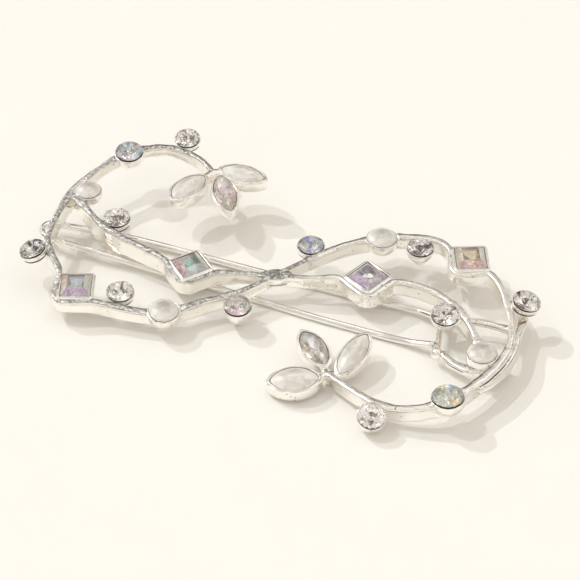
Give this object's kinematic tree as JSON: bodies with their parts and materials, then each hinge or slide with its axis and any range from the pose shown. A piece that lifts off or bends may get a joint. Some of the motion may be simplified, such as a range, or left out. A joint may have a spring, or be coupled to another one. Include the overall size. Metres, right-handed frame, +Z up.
{
  "type": "hair barrette",
  "caption": "Openwork silver vine hair barrette in a lying S, set with cut, iridescent and frosted glass, with a hinged wire bail underneath that closes on the hair.",
  "frame": {"origin": "middle of the whole piece's box in plan, at its lowest points, which are on the table", "axes": "+X along the bail from its looped end to its hinge, +Y across the vine towards the left half's leaves, +Z up out of the table with the stones facing up"},
  "size_m": [0.0884, 0.0534, 0.0101],
  "materials": {
    "silver_casting": "bright silver plate over a slightly rough casting",
    "silver_wire": "bright silver-plated round wire",
    "clear_glass": "clear cut glass, foiled behind",
    "iris_glass": "cut glass with an iridescent coat, foiled behind",
    "frosted_glass": "frosted milky cut glass"
  },
  "bodies": {
    "frame": {"vine_frame": "silver_casting", "clear_stone_left_1": "clear_glass", "iris_stone_left_1": "iris_glass", "frosted_stone_left_1": "frosted_glass", "clear_stone_left_2": "clear_glass", "clear_stone_left_3": "clear_glass", "clear_stone_left_4": "clear_glass", "frosted_stone_left_2": "frosted_glass", "iris_stone_left_2": "iris_glass", "clear_stone_right_1": "clear_glass", "iris_stone_right_1": "iris_glass", "frosted_stone_right_1": "frosted_glass", "clear_stone_right_2": "clear_glass", "clear_stone_right_3": "clear_glass", "clear_stone_right_4": "clear_glass", "frosted_stone_right_2": "frosted_glass", "iris_stone_right_2": "iris_glass", "frosted_leaf_left_1": "frosted_glass", "iris_leaf_left": "iris_glass", "frosted_leaf_left_2": "frosted_glass", "frosted_leaf_right_1": "frosted_glass", "iris_leaf_right": "iris_glass", "frosted_leaf_right_2": "frosted_glass", "square_stone_left": "iris_glass", "diamond_stone_left": "iris_glass", "diamond_stone_right": "iris_glass", "square_stone_right": "iris_glass"},
    "bail": {"wire_bail": "silver_wire"}
  },
  "joints": [
    {"name": "bail_hinge", "type": "hinge", "parent": "frame", "child": "bail", "pos_m": [0.02939, -0.00155, 0.0022], "axis": [0.199, -0.98, 0], "range_deg": [0, 75]}
  ]
}
